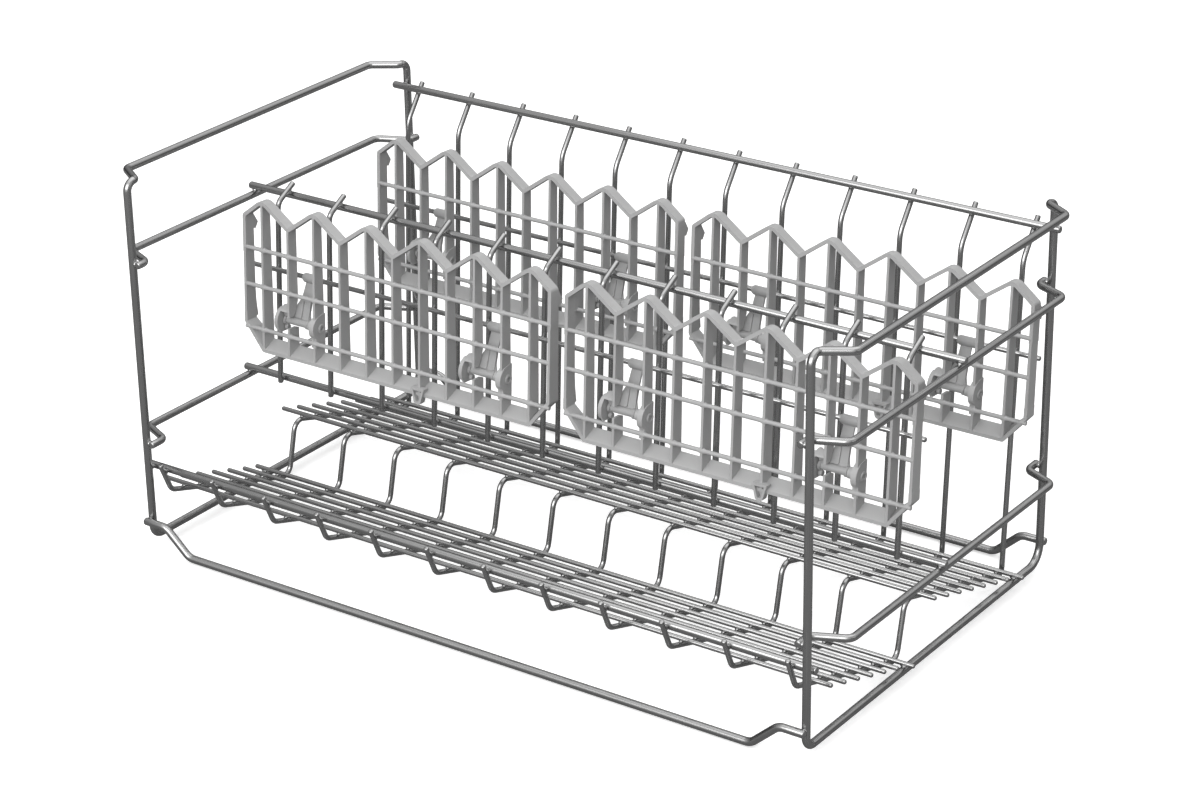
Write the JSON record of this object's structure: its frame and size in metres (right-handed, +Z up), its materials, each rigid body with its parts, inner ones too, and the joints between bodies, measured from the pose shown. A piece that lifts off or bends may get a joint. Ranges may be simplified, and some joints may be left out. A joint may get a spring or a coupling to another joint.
{
  "type": "wire glass basket",
  "caption": "Free-standing wire basket insert with two sloped glass shelves behind each other and toothed plastic glass holders on swinging hangers.",
  "frame": {"origin": "on the resting plane, under the middle of the four corner posts", "axes": "+X along the basket to the right, +Y to its back, +Z up"},
  "size_m": [0.501, 0.2756, 0.2361],
  "materials": {
    "stainless_wire": "drawn stainless wire, satin, electropolished after welding",
    "holder_plastic": "light grey moulded polypropylene, matt",
    "hanger_plastic": "light grey moulded polypropylene, matt, slightly darker than the holders"
  },
  "bodies": {
    "basket": {"base_frame": "stainless_wire", "lower_cross_frame": "stainless_wire", "upper_side_rail_left": "stainless_wire", "upper_side_rail_right": "stainless_wire", "centre_top_rail": "stainless_wire", "centre_hinge_rail": "stainless_wire", "back_top_rail": "stainless_wire", "back_hinge_rail": "stainless_wire", "front_rim_rail": "stainless_wire", "contour_wire_01": "stainless_wire", "contour_wire_02": "stainless_wire", "contour_wire_03": "stainless_wire", "contour_wire_04": "stainless_wire", "contour_wire_05": "stainless_wire", "contour_wire_06": "stainless_wire", "contour_wire_07": "stainless_wire", "contour_wire_08": "stainless_wire", "contour_wire_09": "stainless_wire", "contour_wire_10": "stainless_wire", "contour_wire_11": "stainless_wire", "contour_wire_12": "stainless_wire", "centre_tine_01": "stainless_wire", "centre_tine_02": "stainless_wire", "centre_tine_03": "stainless_wire", "centre_tine_04": "stainless_wire", "centre_tine_05": "stainless_wire", "centre_tine_06": "stainless_wire", "centre_tine_07": "stainless_wire", "centre_tine_08": "stainless_wire", "centre_tine_09": "stainless_wire", "centre_tine_10": "stainless_wire", "centre_tine_11": "stainless_wire", "centre_tine_12": "stainless_wire", "front_shelf_wire_1": "stainless_wire", "front_shelf_wire_2": "stainless_wire", "front_shelf_wire_3": "stainless_wire", "front_shelf_wire_4": "stainless_wire", "front_shelf_wire_5": "stainless_wire", "front_shelf_wire_6": "stainless_wire", "front_shelf_wire_7": "stainless_wire", "rear_shelf_wire_1": "stainless_wire", "rear_shelf_wire_2": "stainless_wire", "rear_shelf_wire_3": "stainless_wire", "rear_shelf_wire_4": "stainless_wire", "rear_shelf_wire_5": "stainless_wire", "rear_shelf_wire_6": "stainless_wire", "rear_shelf_wire_7": "stainless_wire", "rear_shelf_wire_8": "stainless_wire"},
    "hanger_front_left_a": {"hanger_front_left_a": "hanger_plastic"},
    "hanger_front_left_b": {"hanger_front_left_b": "hanger_plastic"},
    "holder_front_left": {"holder_front_left": "holder_plastic"},
    "hanger_front_right_a": {"hanger_front_right_a": "hanger_plastic"},
    "hanger_front_right_b": {"hanger_front_right_b": "hanger_plastic"},
    "holder_front_right": {"holder_front_right": "holder_plastic"},
    "hanger_back_left_a": {"hanger_back_left_a": "hanger_plastic"},
    "hanger_back_left_b": {"hanger_back_left_b": "hanger_plastic"},
    "holder_back_left": {"holder_back_left": "holder_plastic"},
    "hanger_back_right_a": {"hanger_back_right_a": "hanger_plastic"},
    "hanger_back_right_b": {"hanger_back_right_b": "hanger_plastic"},
    "holder_back_right": {"holder_back_right": "holder_plastic"}
  },
  "joints": [
    {"name": "hanger_front_left_a_swing", "type": "hinge", "parent": "basket", "child": "hanger_front_left_a", "pos_m": [-0.1957, -0.02063, 0.1459], "axis": [-1, 0, 0], "range_deg": [0, 90]},
    {"name": "hanger_front_left_b_swing", "type": "hinge", "parent": "basket", "child": "hanger_front_left_b", "pos_m": [-0.0557, -0.02063, 0.1459], "axis": [-1, 0, 0], "range_deg": [0, 90]},
    {"name": "holder_front_left_pivot", "type": "hinge", "parent": "hanger_front_left_a", "child": "holder_front_left", "pos_m": [-0.1957, -0.03218, 0.1207], "axis": [-1, 0, 0], "range_deg": [-90, 0]},
    {"name": "hanger_front_right_a_swing", "type": "hinge", "parent": "basket", "child": "hanger_front_right_a", "pos_m": [0.0437, -0.02063, 0.1459], "axis": [-1, 0, 0], "range_deg": [0, 90]},
    {"name": "hanger_front_right_b_swing", "type": "hinge", "parent": "basket", "child": "hanger_front_right_b", "pos_m": [0.1837, -0.02063, 0.1459], "axis": [-1, 0, 0], "range_deg": [0, 90]},
    {"name": "holder_front_right_pivot", "type": "hinge", "parent": "hanger_front_right_a", "child": "holder_front_right", "pos_m": [0.0437, -0.03218, 0.1207], "axis": [-1, 0, 0], "range_deg": [-90, 0]},
    {"name": "hanger_back_left_a_swing", "type": "hinge", "parent": "basket", "child": "hanger_back_left_a", "pos_m": [-0.1957, 0.11005, 0.1459], "axis": [-1, 0, 0], "range_deg": [0, 90]},
    {"name": "hanger_back_left_b_swing", "type": "hinge", "parent": "basket", "child": "hanger_back_left_b", "pos_m": [-0.0557, 0.11005, 0.1459], "axis": [-1, 0, 0], "range_deg": [0, 90]},
    {"name": "holder_back_left_pivot", "type": "hinge", "parent": "hanger_back_left_a", "child": "holder_back_left", "pos_m": [-0.1957, 0.0985, 0.1207], "axis": [-1, 0, 0], "range_deg": [-90, 0]},
    {"name": "hanger_back_right_a_swing", "type": "hinge", "parent": "basket", "child": "hanger_back_right_a", "pos_m": [0.0437, 0.11005, 0.1459], "axis": [-1, 0, 0], "range_deg": [0, 90]},
    {"name": "hanger_back_right_b_swing", "type": "hinge", "parent": "basket", "child": "hanger_back_right_b", "pos_m": [0.1837, 0.11005, 0.1459], "axis": [-1, 0, 0], "range_deg": [0, 90]},
    {"name": "holder_back_right_pivot", "type": "hinge", "parent": "hanger_back_right_a", "child": "holder_back_right", "pos_m": [0.0437, 0.0985, 0.1207], "axis": [-1, 0, 0], "range_deg": [-90, 0]}
  ],
  "couplings": [
    {"joint": "hanger_front_left_b_swing", "follows": "hanger_front_left_a_swing", "ratio": 1},
    {"joint": "holder_front_left_pivot", "follows": "hanger_front_left_a_swing", "ratio": -1},
    {"joint": "hanger_front_right_b_swing", "follows": "hanger_front_right_a_swing", "ratio": 1},
    {"joint": "holder_front_right_pivot", "follows": "hanger_front_right_a_swing", "ratio": -1},
    {"joint": "hanger_back_left_b_swing", "follows": "hanger_back_left_a_swing", "ratio": 1},
    {"joint": "holder_back_left_pivot", "follows": "hanger_back_left_a_swing", "ratio": -1},
    {"joint": "hanger_back_right_b_swing", "follows": "hanger_back_right_a_swing", "ratio": 1},
    {"joint": "holder_back_right_pivot", "follows": "hanger_back_right_a_swing", "ratio": -1}
  ]
}
